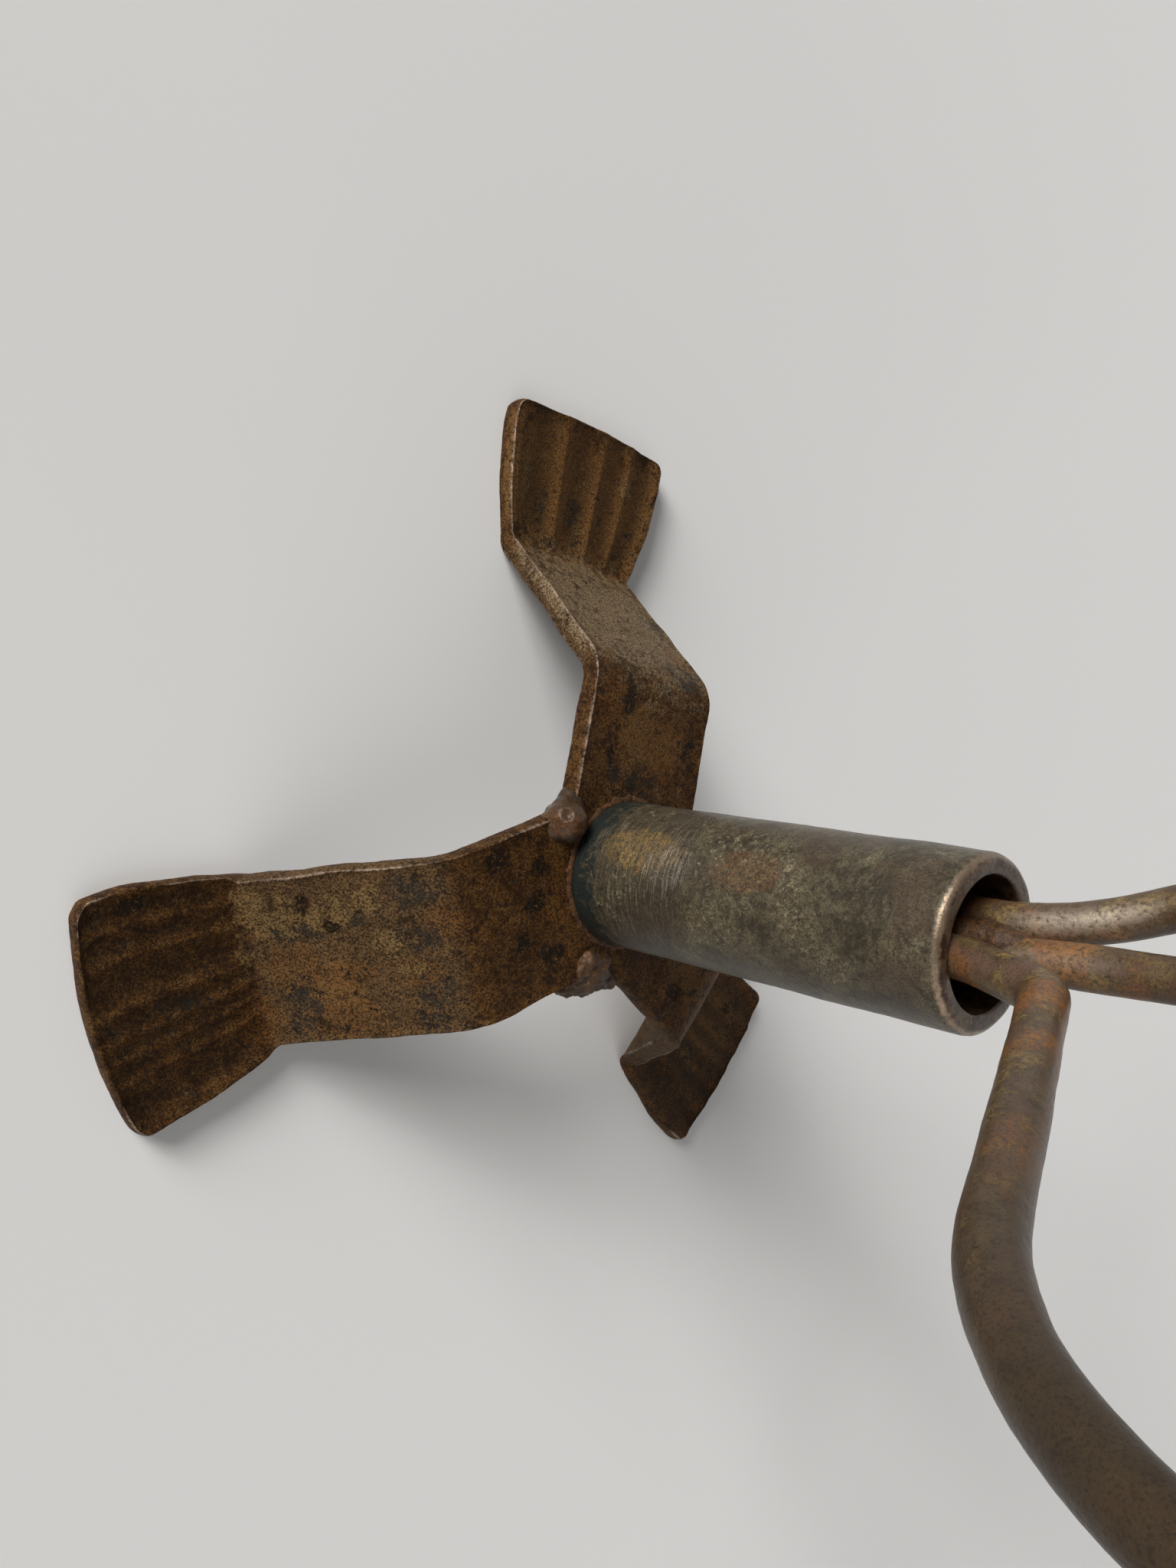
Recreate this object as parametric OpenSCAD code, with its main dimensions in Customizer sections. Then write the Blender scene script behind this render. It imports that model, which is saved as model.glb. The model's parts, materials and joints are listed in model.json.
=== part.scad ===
// Three-armed candle holder in forged and welded iron.
// Three flat bars are mitred together under a short pipe and bent down to fluted fishtail feet.
// Three round bars stand in the pipe, lean out of its mouth and carry a drip pan and a candle cup each.
// The origin is on the pipe's axis, on the ground. Lengths are in millimetres, angles in degrees.

/* [Legs] */
// Width of the flat bar
bar_w = 25; // [20:0.5:30]
// Thickness of the flat bar
bar_t = 3; // [2:0.1:4]
// Height of the hub's top face above the ground
hub_h = 27.5; // [22:0.5:36]
// Distance from the stem's axis to the crest bend
crest_u = 29; // [25:0.5:34]
// Distance from the stem's axis to the heel bend
heel_u = 47.9; // [43:0.1:53]
// Inner radius of both bends
bend_r = 1.5; // [0.8:0.1:3]
// Bearing of the first leg, seen from above
leg_1_bearing = 90; // [80:1:100]
// Bearing of the second leg
leg_2_bearing = 206; // [195:1:220]
// Bearing of the third leg
leg_3_bearing = 330; // [318:1:340]

/* [Fishtail feet] */
// Distance from the stem's axis to the middle of the toe edge
toe_u = 71.5; // [64:0.5:80]
// Width across the toe corners before they are rounded
toe_w = 33; // [31:0.5:38]
// Radius of the toe edge, seen from above
toe_r = 90; // [60:5:200]
// Radius of the flared sides, seen from above
flare_r = 100; // [60:5:200]
// Rounding of the toe corners
toe_corner_r = 2.5; // [1:0.1:4]
// Number of flutes on a foot
flute_count = 6; // [4:1:8]
// Distance between the flutes at the toe
flute_pitch = 4.9; // [3:0.1:6]
// Depth of a flute at the toe
flute_depth = 0.5; // [0.2:0.05:0.9]
// Depth of a flute at the heel
flute_heel_depth = 0.25; // [0.05:0.05:0.5]

/* [Stem] */
// Outer diameter of the stem's pipe
stem_od = 21.3; // [20:0.1:24]
// Wall of the stem's pipe
stem_wall = 2.65; // [1.8:0.05:3]
// Length of the stem
stem_l = 59.2; // [45:0.1:90]
// Rounding of a worn pipe rim
rim_r = 0.8; // [0.3:0.1:0.9]

/* [Arms] */
// Diameter of the round bar
rod_d = 5; // [4:0.1:5.4]
// Gap between a rod and what it lies against in the stem
rod_gap = 0.1; // [0.05:0.05:0.3]
// Bearing of the first arm, which is also where its rod lies in the stem
arm_1_bearing = 200; // [190:1:212]
// Bearing of the second arm
arm_2_bearing = 70; // [60:1:85]
// Bearing of the third arm
arm_3_bearing = 320; // [310:1:335]
// Direction from the first rod to the third, inside the stem
third_rod_dir = 10; // [0:1:20]
// Direction from the third rod to the second, inside the stem
second_rod_dir = 48; // [35:1:60]
// Lean of the first arm out of the mouth
arm_1_lean = 22; // [5:1:30]
// Lean of the second arm
arm_2_lean = 24; // [5:1:30]
// Lean of the third arm
arm_3_lean = -5; // [-8:1:20]
// Height above the mouth at which the first arm leans
arm_1_lean_z = 0.5; // [0:0.1:3]
// Height above the mouth at which the second arm leans
arm_2_lean_z = 6.6; // [4:0.1:9]
// Height above the mouth at which the third arm leans
arm_3_lean_z = 1; // [0:0.1:6]
// Radius of the first arm's lean
arm_1_lean_r = 12; // [8:1:20]
// Radius of the other arms' lean
lean_r = 40; // [20:1:45]
// Height of the first arm's knee above the mouth
knee_z = 12.1; // [10:0.1:18]
// Height from one arm's knee to the next
knee_step = 10; // [4:0.5:14]
// Radius of a knee
knee_r = 6; // [4:0.5:9]
// Rise of an arm from its knee to its elbow, above level
arm_rise = 23.1; // [15:0.1:30]
// Reach of an arm from the stem's axis
arm_reach = 73; // [66:0.5:90]
// Radius of an elbow
elbow_r = 38; // [20:1:42]
// How much thinner the bar is in a bend, where it was drawn
bend_thinning = 0.02; // [0.02:0.01:0.1]
// Length over which a straight run laps a bend
bend_lap = 0.2; // [0.1:0.05:0.4]
// Height of the first arm's top above the mouth
arm_top_z = 73; // [70:0.5:95]
// Height from one arm's top to the next
top_step = 12; // [11:0.5:20]

/* [Drip pans] */
// Thickness of the pan's sheet
pan_t = 1.5; // [1:0.1:2.5]
// Radius of the pan's flat middle
pan_flat_r = 16; // [15.5:0.5:20]
// Radius of the pan's dished border, in section
pan_dish_r = 24; // [18:1:40]
// Angle through which the border curves up
pan_dish_angle = 31; // [15:1:40]

/* [Candle cups] */
// Diameter of the candle that the cup takes
candle_d = 22; // [18:0.1:23]
// Clearance between the candle and the cup, on the diameter
candle_gap = 0.3; // [0.1:0.1:1]
// Wall of the cup's pipe
cup_wall = 2.3; // [1.8:0.1:3]
// Height of the cup
cup_h = 25; // [15:1:40]

/* [Welds] */
// Size of the bead round the foot of the stem
stem_bead = 1.5; // [0.8:0.1:2]
// Size of the bead round the foot of a cup
cup_bead = 1.2; // [0.6:0.1:1.5]
// Size of the bead under a drip pan
pan_bead = 2; // [1:0.1:3]
// Radius of the drop of weld at the hub's corners
drop_r = 3; // [2:0.1:3.5]
// Depth of the drop's middle below the hub's top face
drop_sink = 0.3; // [0.1:0.1:1]
// Radius of the weld that runs down the hub's edge
drop_tail_r = 2.2; // [1.5:0.1:2.6]
// Radius of the drop at the lower end of that run
drop_end_r = 2.4; // [2:0.1:2.8]
// Radius of the weld that binds the rods at the mouth
bundle_weld_r = 2.9; // [2:0.1:3.2]
// Length of the weld that binds the rods at the mouth
bundle_weld_l = 11; // [8:0.5:14]
// Depth of the weld that holds the rods to the hub, inside the stem
root_weld_h = 4; // [2:0.5:10]

/* [Hidden] */

$fn = 48;
count = 3;
half = 0.5;
full_turn = 360;
quarter_turn = 90;
arc_steps = 8;

rust = "#5a3a26";
steel = "#5f594b";
rod_brown = "#6b4a33";
weld_grey = "#6a5a50";

leg_bearing = [leg_1_bearing, leg_2_bearing, leg_3_bearing];
arm_bearing = [arm_1_bearing, arm_2_bearing, arm_3_bearing];
arm_lean = [arm_1_lean, arm_2_lean, arm_3_lean];
arm_lean_z = [arm_1_lean_z, arm_2_lean_z, arm_3_lean_z];
arm_lean_r = [arm_1_lean_r, lean_r, lean_r];

bar_half = bar_w * half;
toe_half = toe_w * half;
stem_r = stem_od * half;
bore_r = stem_r - stem_wall;
rod_r = rod_d * half;
mouth_z = hub_h + stem_l;
cup_r = (candle_d + candle_gap) * half + cup_wall;

// Plan geometry

function polar(r, a) = r * [cos(a), sin(a)];
function heading(v) = atan2(v[1], v[0]);
function arc(c, r, a0, a1) = [for (k = [0:arc_steps]) c + polar(r, a0 + (a1 - a0) * k / arc_steps)];
function flip(points) = [for (k = [len(points) - 1:-1:0]) [points[k][0], -points[k][1]]];

// The point at distance ra from a and rb from b that lies on the left of the way from a to b.
function meet(a, ra, b, rb) =
    let (
        d = norm(b - a),
        along = (ra * ra - rb * rb + d * d) / (2 * d),
        aside = sqrt(ra * ra - along * along),
        e = (b - a) / d
    )
    a + along * e + aside * [-e[1], e[0]];

// The bearing of the seam between a leg and the next one round.
function seam(i) =
    i == count - 1
    ? (leg_bearing[i] + leg_bearing[0] + full_turn) * half
    : (leg_bearing[i] + leg_bearing[i + 1]) * half;
function mitre_ahead(i) = seam(i) - leg_bearing[i];
function mitre_behind(i) = i == 0 ? leg_bearing[0] + full_turn - seam(count - 1) : leg_bearing[i] - seam(i - 1);

// The fishtail's outline: a side arc from the neck, a rounded corner, and the toe's arc.
neck = [heel_u, bar_half];
toe_corner = [toe_u - toe_r + sqrt(toe_r * toe_r - toe_half * toe_half), toe_half];
toe_centre = [toe_u - toe_r, 0];
side_centre = meet(toe_corner, flare_r, neck, flare_r);
corner_centre = meet(toe_centre, toe_r - toe_corner_r, side_centre, flare_r - toe_corner_r);
side_start = heading(neck - side_centre);
side_end = heading(corner_centre - side_centre);
toe_end = heading(corner_centre - toe_centre);
side_points = arc(side_centre, flare_r, side_start, side_end);
corner_points = arc(corner_centre, toe_corner_r, side_end, toe_end);
toe_points = arc(toe_centre, toe_r, toe_end, -toe_end);
fan_u = heel_u - bar_half * (toe_u - heel_u) / (toe_half - bar_half);

function leg_outline(i) = concat(
    [[0, 0]],
    [[bar_half / tan(mitre_ahead(i)), bar_half]],
    side_points,
    corner_points,
    toe_points,
    flip(corner_points),
    flip(side_points),
    [[bar_half / tan(mitre_behind(i)), -bar_half]]
);

// Leg profile, seen from the side

fall = hub_h - bar_t;
slope_run = heel_u - crest_u;
slope_angle = atan(fall / slope_run);
bend_mid_r = bend_r + bar_t * half;
bend_run = bend_mid_r * tan(slope_angle * half);
slope_l = norm([slope_run, fall]) - 2 * bend_run;

module sector(r_in, r_out, a0, a1) {
    reach = r_out / cos((a1 - a0) * half) * 2;
    intersection() {
        difference() {
            circle(r_out);
            circle(r_in);
        }
        polygon([[0, 0], polar(reach, a0), polar(reach, (a0 + a1) * half), polar(reach, a1)]);
    }
}

module leg_profile() {
    translate([0, fall])
        square([crest_u - bend_run, bar_t]);
    translate([crest_u - bend_run, fall - bend_r])
        sector(bend_r, bend_r + bar_t, quarter_turn - slope_angle, quarter_turn);
    translate([crest_u, hub_h - bar_t * half])
        rotate(-slope_angle)
            translate([bend_run, -bar_t * half])
                square([slope_l, bar_t]);
    translate([heel_u + bend_run, bar_t + bend_r])
        sector(bend_r, bend_r + bar_t, -quarter_turn - slope_angle, -quarter_turn);
    translate([heel_u + bend_run, 0])
        square([toe_u - heel_u, bar_t]);
}

// Flutes: shallow round-bottomed grooves that fan out over the foot and deepen towards the toe.

flute_half_angle = 2 * atan(2 * flute_depth / flute_pitch);
flute_r = flute_pitch * half / sin(flute_half_angle);
flute_start = heel_u + bend_run + bar_t * half * half - fan_u;
flute_l = toe_u - fan_u - flute_start;
flute_tilt = atan((flute_depth - flute_heel_depth) / flute_l);

module flutes() {
    for (k = [0:flute_count - 1]) {
        offset_at_toe = (k - (flute_count - 1) * half) * flute_pitch;
        translate([fan_u, 0, bar_t + flute_r - flute_heel_depth])
            rotate([0, 0, atan(offset_at_toe / (toe_u - fan_u))])
                translate([flute_start, 0, 0])
                    rotate([0, quarter_turn + flute_tilt, 0])
                        cylinder(r = flute_r, h = flute_l * 2);
    }
}

// The leg is one bar: bent in profile, cut to its outline in plan, and fluted.
module leg_blank(i) {
    intersection() {
        rotate([quarter_turn, 0, 0])
            linear_extrude(toe_w * 2, center = true)
                leg_profile();
        linear_extrude(hub_h)
            polygon(leg_outline(i));
    }
}

module leg(i) {
    color(rust)
        rotate([0, 0, leg_bearing[i]])
            difference() {
                leg_blank(i);
                flutes();
            }
}

// Stem and candle cups: lengths of pipe with a worn, rounded rim.

module pipe(r_out, wall, h) {
    rotate_extrude()
        translate([r_out - wall, 0]) {
            square([wall, h - rim_r]);
            translate([rim_r, 0])
                square([wall - 2 * rim_r, h]);
            translate([rim_r, h - rim_r])
                circle(rim_r);
            translate([wall - rim_r, h - rim_r])
                circle(rim_r);
        }
}

module stem_pipe() {
    color(steel)
        translate([0, 0, hub_h])
            pipe(stem_r, stem_wall, stem_l);
}

// A quarter-round bead of weld round something of radius r that stands on the level z = 0.
module bead(r, w) {
    rotate_extrude()
        intersection() {
            translate([r, 0])
                circle(w);
            translate([r, 0])
                square(w);
        }
}

module stem_weld() {
    color(weld_grey)
        translate([0, 0, hub_h])
            bead(stem_r, stem_bead);
}

// The hub plate round a seam's outer corner, with the seam along X. The weld is shaped against it.
module hub_corner(half_angle) {
    translate([0, 0, -bar_t])
        linear_extrude(bar_t)
            polygon([
                [0, 0], polar(bar_w, -half_angle), [-bar_w, -bar_w], [-bar_w, bar_w], polar(bar_w, half_angle)
            ]);
}

// A drop of weld at the outer corner of a seam, which runs down over the hub's edge.
// It stops short of the bead round the stem.
module hub_weld(i) {
    corner_u = bar_half / sin(mitre_ahead(i));
    color(weld_grey)
        rotate([0, 0, seam(i)])
            translate([corner_u, 0, hub_h])
                difference() {
                    translate([0, 0, -drop_sink]) {
                        sphere(drop_r);
                        translate([0, 0, -bar_t])
                            cylinder(r = drop_tail_r, h = bar_t);
                        translate([0, 0, -bar_t])
                            sphere(drop_end_r);
                    }
                    hub_corner(mitre_ahead(i));
                    translate([-corner_u, 0, -bar_t * half])
                        cylinder(r = stem_r + stem_bead, h = bar_t + drop_r);
                }
}

// Arms: each is one round bar that stands in the stem and is bent in a plane of its own.

rod_step = rod_d + rod_gap;
rod_1_at = polar(bore_r - rod_r - rod_gap, arm_1_bearing);
rod_3_at = rod_1_at + polar(rod_step, third_rod_dir);
rod_2_at = rod_3_at + polar(rod_step, second_rod_dir);
rod_at = [rod_1_at, rod_2_at, rod_3_at];

// Reach of an arm from its own rod, its corners in its own plane, and its bend radii.
function own_reach(i) = arm_reach - rod_at[i] * polar(1, arm_bearing[i]);
function knee_at(i) =
    let (z = knee_z + i * knee_step)
    [(z - arm_lean_z[i]) * tan(arm_lean[i]), z];
function elbow_at(i) = [own_reach(i), knee_at(i)[1] + (own_reach(i) - knee_at(i)[0]) * tan(arm_rise)];
function top_at(i) = [own_reach(i), arm_top_z + i * top_step];
function arm_corners(i) = [[0, -stem_l], [0, arm_lean_z[i]], knee_at(i), elbow_at(i), top_at(i)];
function arm_radii(i) = [arm_lean_r[i], knee_r, elbow_r];
function cup_at(i) =
    let (p = rod_at[i] + polar(own_reach(i), arm_bearing[i]))
    [p[0], p[1], mouth_z + top_at(i)[1]];

// A round bar bent in the XY plane along straight runs, with a fillet at each inner corner.
module bent_rod(corners, radii) {
    runs = len(corners) - 1;
    way = [for (k = [0:runs - 1]) heading(corners[k + 1] - corners[k])];
    cut = [
        for (k = [0:runs])
            k == 0 || k == runs ? 0 : radii[k - 1] * tan(abs(way[k] - way[k - 1]) * half)
    ];
    short = [for (k = [0:runs]) cut[k] == 0 ? 0 : cut[k] - bend_lap];
    for (k = [0:runs - 1])
        translate(corners[k] + polar(short[k], way[k]))
            rotate([0, 0, way[k]])
                rotate([0, quarter_turn, 0])
                    cylinder(r = rod_r, h = norm(corners[k + 1] - corners[k]) - short[k] - short[k + 1]);
    for (k = [1:runs - 1]) {
        turn = way[k] - way[k - 1];
        side = sign(turn) * quarter_turn;
        start = corners[k] - polar(cut[k], way[k - 1]);
        translate(start + polar(radii[k - 1], way[k - 1] + side))
            rotate([0, 0, way[k - 1] - side])
                rotate_extrude(angle = turn)
                    translate([radii[k - 1], 0])
                        circle(rod_r - bend_thinning);
    }
}

module arm(i) {
    color(rod_brown)
        translate([rod_at[i][0], rod_at[i][1], mouth_z])
            rotate([0, 0, arm_bearing[i]])
                rotate([quarter_turn, 0, 0])
                    bent_rod(arm_corners(i), arm_radii(i));
}

// The weld that holds the rods to the hub, down inside the stem.
module root_weld() {
    color(weld_grey)
        translate([0, 0, hub_h])
            difference() {
                cylinder(r = bore_r, h = root_weld_h);
                for (at = rod_at)
                    translate([at[0], at[1], -root_weld_h])
                        cylinder(r = rod_r, h = root_weld_h * 3);
            }
}

// The stretch of a rod near the mouth, mitred where it leans, which shapes the weld against it.
// The third rod's is a little thicker, so that no weld runs into the crevices beside it.
module rod_stub(i) {
    stub_r = i == count - 1 ? rod_r + rod_gap * 2 : rod_r;
    stub_l = bundle_weld_l + rod_d;
    translate([rod_at[i][0], rod_at[i][1], mouth_z])
        rotate([0, 0, arm_bearing[i]]) {
            translate([0, 0, -stub_l])
                cylinder(r = stub_r, h = stub_l + arm_lean_z[i]);
            translate([0, 0, arm_lean_z[i]])
                rotate([0, arm_lean[i], 0])
                    translate([0, 0, -stub_r * tan(abs(arm_lean[i]) * half)])
                        cylinder(r = stub_r, h = stub_l);
        }
}

// The weld in the groove between the three rods: a spindle, half in and half out of the mouth.
bundle_weld_at = (rod_1_at + rod_2_at) * half + polar(rod_r * half, (arm_1_bearing + arm_2_bearing) * half);
spindle_r = (pow(bundle_weld_l * half, 2) + pow(bundle_weld_r, 2)) / (2 * bundle_weld_r);

module bundle_weld() {
    color(weld_grey)
        difference() {
            translate([bundle_weld_at[0], bundle_weld_at[1], mouth_z])
                rotate_extrude()
                    intersection() {
                        translate([bundle_weld_r - spindle_r, 0])
                            circle(spindle_r);
                        translate([0, -bundle_weld_l])
                            square([bundle_weld_r, bundle_weld_l * 2]);
                    }
            for (i = [0:count - 1])
                rod_stub(i);
        }
}

// Drip pans and candle cups stand on the arms' tops.

module on_arm(i, lift = 0) {
    translate(cup_at(i) + [0, 0, lift])
        children();
}

module pan_weld(i) {
    color(weld_grey)
        on_arm(i)
            mirror([0, 0, 1])
                bead(rod_r, pan_bead);
}

module drip_pan(i) {
    color(rust)
        on_arm(i)
            rotate_extrude() {
                square([pan_flat_r, pan_t]);
                translate([pan_flat_r, pan_t + pan_dish_r]) {
                    sector(pan_dish_r, pan_dish_r + pan_t, -quarter_turn, pan_dish_angle - quarter_turn);
                    translate(polar(pan_dish_r + pan_t * half, pan_dish_angle - quarter_turn))
                        circle(pan_t * half);
                }
            }
}

module cup_weld(i) {
    color(weld_grey)
        on_arm(i, pan_t)
            bead(cup_r, cup_bead);
}

module candle_cup(i) {
    color(steel)
        on_arm(i, pan_t)
            pipe(cup_r, cup_wall, cup_h);
}

leg(0);  // leg_1
leg(1);  // leg_2
leg(2);  // leg_3
hub_weld(0);  // hub_weld_1
hub_weld(1);  // hub_weld_2
hub_weld(2);  // hub_weld_3
stem_pipe();
stem_weld();
root_weld();
bundle_weld();
arm(0);  // arm_1
arm(1);  // arm_2
arm(2);  // arm_3
pan_weld(0);  // pan_weld_1
pan_weld(1);  // pan_weld_2
pan_weld(2);  // pan_weld_3
drip_pan(0);  // drip_pan_1
drip_pan(1);  // drip_pan_2
drip_pan(2);  // drip_pan_3
cup_weld(0);  // cup_weld_1
cup_weld(1);  // cup_weld_2
cup_weld(2);  // cup_weld_3
candle_cup(0);  // candle_cup_1
candle_cup(1);  // candle_cup_2
candle_cup(2);  // candle_cup_3
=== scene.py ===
# %% [markdown]
# This is a three-armed candle holder in forged iron. Three flat bars are mitred together and bent down to
# fluted fishtail feet, a short pipe stands on them as the stem, and three round bars grow out of its mouth.
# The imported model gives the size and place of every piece. Each piece is made again here with the marks of
# the forge on it, in metres and in the same frame, so nothing has to be fitted afterwards.

# %% Load the frame
import json
import math
import random

import bmesh
import bpy
from mathutils import Matrix, Vector, noise


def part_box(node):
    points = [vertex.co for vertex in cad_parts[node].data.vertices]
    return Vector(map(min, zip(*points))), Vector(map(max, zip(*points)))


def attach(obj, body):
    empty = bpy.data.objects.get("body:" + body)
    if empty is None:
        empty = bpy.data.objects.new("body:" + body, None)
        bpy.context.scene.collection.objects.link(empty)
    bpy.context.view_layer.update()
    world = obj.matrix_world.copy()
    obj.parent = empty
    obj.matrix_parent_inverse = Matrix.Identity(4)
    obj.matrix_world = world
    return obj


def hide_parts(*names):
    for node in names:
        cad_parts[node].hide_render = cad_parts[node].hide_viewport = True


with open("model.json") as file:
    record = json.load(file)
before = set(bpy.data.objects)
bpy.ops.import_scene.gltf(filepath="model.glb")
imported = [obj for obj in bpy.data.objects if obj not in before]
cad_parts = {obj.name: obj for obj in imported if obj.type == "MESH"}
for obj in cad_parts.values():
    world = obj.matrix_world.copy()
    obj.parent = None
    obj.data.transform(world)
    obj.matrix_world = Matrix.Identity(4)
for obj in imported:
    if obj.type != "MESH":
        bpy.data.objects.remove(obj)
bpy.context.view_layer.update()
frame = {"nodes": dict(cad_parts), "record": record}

mm = 0.001

# %% [markdown]
# The photograph was taken close up with a wide lens, and the camera was rolled so that the stem lies almost
# level in the picture. The place and turn below were solved from the stem and the legs. The lens sits only
# a few centimetres from the first arm, so the near clipping distance has to be tiny.

# %% Camera
camera_place = Vector((-130.2, 3.3, 157.0)) * mm
camera_turn = (-6.61, -42.43, 13.77)
lens_mm = 28.33
sensor_mm = 36

camera_data = bpy.data.cameras.new("camera")
camera_data.lens = lens_mm
camera_data.sensor_width = sensor_mm
camera_data.clip_start = 1 * mm
camera_data.clip_end = 20
camera = bpy.data.objects.new("camera", camera_data)
camera.location = camera_place
camera.rotation_euler = [math.radians(angle) for angle in camera_turn]
bpy.context.scene.collection.objects.link(camera)
bpy.context.scene.camera = camera
print("the camera stands", round(camera_place.length / mm), "mm from the origin")

# %% [markdown]
# A new object needs the same few steps every time: the mesh is closed and smoothed, the object is linked at
# the origin, it rides on the root, and the CAD part it stands for is hidden. Two functions do that for all of them.
# The parts are found by name in the imported record, which also says which finish each one has.

# %% From a bmesh to a piece
slot_of = {part["node"]: part["material_slot"] for part in frame["record"]["subparts"]}
merge_gap = 0.001 * mm
finishes = {}


def make_piece(bm, node):
    bmesh.ops.remove_doubles(bm, verts=bm.verts, dist=merge_gap)
    bmesh.ops.recalc_face_normals(bm, faces=bm.faces)
    mesh = bpy.data.meshes.new(node + "_forged")
    bm.to_mesh(mesh)
    bm.free()
    mesh.shade_smooth()
    piece = bpy.data.objects.new(node + "_forged", mesh)
    bpy.context.scene.collection.objects.link(piece)
    return piece


def bake_modifiers(piece):
    graph = bpy.context.evaluated_depsgraph_get()
    rough_mesh = piece.data
    piece.data = bpy.data.meshes.new_from_object(piece.evaluated_get(graph))
    piece.modifiers.clear()
    bpy.data.meshes.remove(rough_mesh)
    piece.data.shade_smooth()


def subdivide(piece, levels):
    modifier = piece.modifiers.new("rounding", "SUBSURF")
    modifier.levels = levels
    modifier.render_levels = levels
    bake_modifiers(piece)


def dent(piece, size, depth, seed):
    """Moves each point along its normal by smooth noise. A dent is about size wide and depth deep."""
    shift = Vector((seed, seed * 2, seed * 3))
    mesh = piece.data
    normals = [vertex.normal.copy() for vertex in mesh.vertices]
    for vertex, normal in zip(mesh.vertices, normals):
        vertex.co += normal * depth * noise.noise(vertex.co / size + shift)
    mesh.update()


def deliver(piece, node):
    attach(piece, "root")
    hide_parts(node)
    piece.data.materials.clear()
    piece.data.materials.append(finishes[slot_of[node]])
    print(node, len(piece.data.polygons), "faces")

# %% [markdown]
# Old waxed rust isn't one colour. Up close it is dark scale with brown, ochre and orange blooms a millimetre
# or two across, small black pits, and bare metal where edges are rubbed, which is partly a painted highlight.
# Each of these is a cloud of noise with a threshold, laid over the last. A few short functions keep the
# finishes readable: they take sizes in metres and give back a socket. Every pattern reads Object coordinates,
# so it stays with the piece.

# %% Small functions for the finishes
def node(tree, kind, sockets, **settings):
    made = tree.nodes.new("ShaderNode" + kind)
    for name, value in settings.items():
        setattr(made, name, value)
    for name, value in sockets.items():
        if isinstance(value, bpy.types.NodeSocket):
            tree.links.new(value, made.inputs[name])
        else:
            made.inputs[name].default_value = value
    return made


def cloud(tree, place, size, detail=4, roughness=0.55, distortion=0.0):
    made = node(tree, "TexNoise", {
        "Vector": place, "Scale": 1 / size, "Detail": detail, "Roughness": roughness, "Distortion": distortion,
    })
    return made.outputs["Fac"]


def threshold(tree, value, low, high):
    made = node(tree, "MapRange", {"Value": value, "From Min": low, "From Max": high},
                interpolation_type="SMOOTHSTEP")
    return made.outputs["Result"]


def between(tree, value, low, high):
    return node(tree, "MapRange", {"Value": value, "To Min": low, "To Max": high}).outputs["Result"]


def math_of(tree, operation, a, b=0.0):
    return node(tree, "Math", {0: a, 1: b}, operation=operation).outputs[0]


def times(tree, a, b):
    return math_of(tree, "MULTIPLY", a, b)


def laid_over(tree, share, under, over):
    colours = {0: share}
    for socket, colour in ((6, under), (7, over)):
        colours[socket] = colour if isinstance(colour, bpy.types.NodeSocket) else (*colour, 1)
    return node(tree, "Mix", colours, data_type="RGBA").outputs[2]


def stretched(tree, place, scale):
    return node(tree, "Mapping", {"Vector": place, "Scale": scale}).outputs["Vector"]


def attribute(tree, name):
    return node(tree, "Attribute", {}, attribute_name=name).outputs["Fac"]


def veins(tree, value, width):
    """Thin lines where a cloud crosses its middle value."""
    from_middle = math_of(tree, "ABSOLUTE", math_of(tree, "SUBTRACT", value, 0.5))
    return threshold(tree, from_middle, width, width * 0.2)


def patch(tree, place, centre, reach, raggedness):
    """A ragged patch round a point. The reach is in each direction, in metres."""
    scale = [1 / along for along in reach]
    middle = [c / along for c, along in zip(centre, reach)]
    distance = node(tree, "VectorMath", {0: stretched(tree, place, scale), 1: middle}, operation="DISTANCE")
    ragged = math_of(tree, "ADD", distance.outputs["Value"], times(tree, raggedness, 1.4))
    return threshold(tree, ragged, 1.75, 1.45)


def mark(tree, name, raggedness):
    """Where a mark that the mesh keeps shows. Its border, at 0.5, is made ragged by a cloud."""
    ragged = between(tree, raggedness, -1.2, 2.2)
    return threshold(tree, math_of(tree, "ADD", attribute(tree, name), ragged), 0.75, 1.20)


def start_finish(name):
    material = bpy.data.materials.new(name)
    material.use_nodes = True
    tree = material.node_tree
    place = node(tree, "TexCoord", {}).outputs["Object"]
    finishes[name] = material
    return tree, place


def end_finish(tree, colour, metallic, roughness, height, depth, specular):
    shader = tree.nodes["Principled BSDF"]
    tree.links.new(colour, shader.inputs["Base Color"])
    tree.links.new(metallic, shader.inputs["Metallic"])
    tree.links.new(roughness, shader.inputs["Roughness"])
    shader.inputs["Specular IOR Level"].default_value = specular
    bump = node(tree, "Bump", {"Height": height, "Distance": depth})
    tree.links.new(bump.outputs["Normal"], shader.inputs["Normal"])


# %% [markdown]
# The legs and the drip pans are rusted flat bar and sheet. The ground is a speckle of dark red brown. Over it
# lie orange blooms, slate grey scale, ochre rings and black pits. On the legs they lie where the photograph
# shows them, so each leg's mesh keeps how deep inside such a mark a point is, and the finish reads that.
# Some of the colour is painted light: a lighter brown on all slopes and a pale painted sheen on two of them,
# warm and orange painted light on the first foot, and painted shade in the bottoms of the flutes' grooves.
# Rubbed arrises show duller metal through speckles of rust, partly as a painted highlight.

# %% Rusted iron
# Scale black is scale, pits and grain, and also the colour of painted shade on the arms and in the flutes.
scale_and_shade_black = (0.010, 0.006, 0.003)
dark_rust = (0.024, 0.010, 0.004)
brown_rust = (0.090, 0.040, 0.011)
# The next colour is painted light: a lighter brown for the slopes, as if lit.
painted_slope_light = (0.104, 0.064, 0.030)
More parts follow.
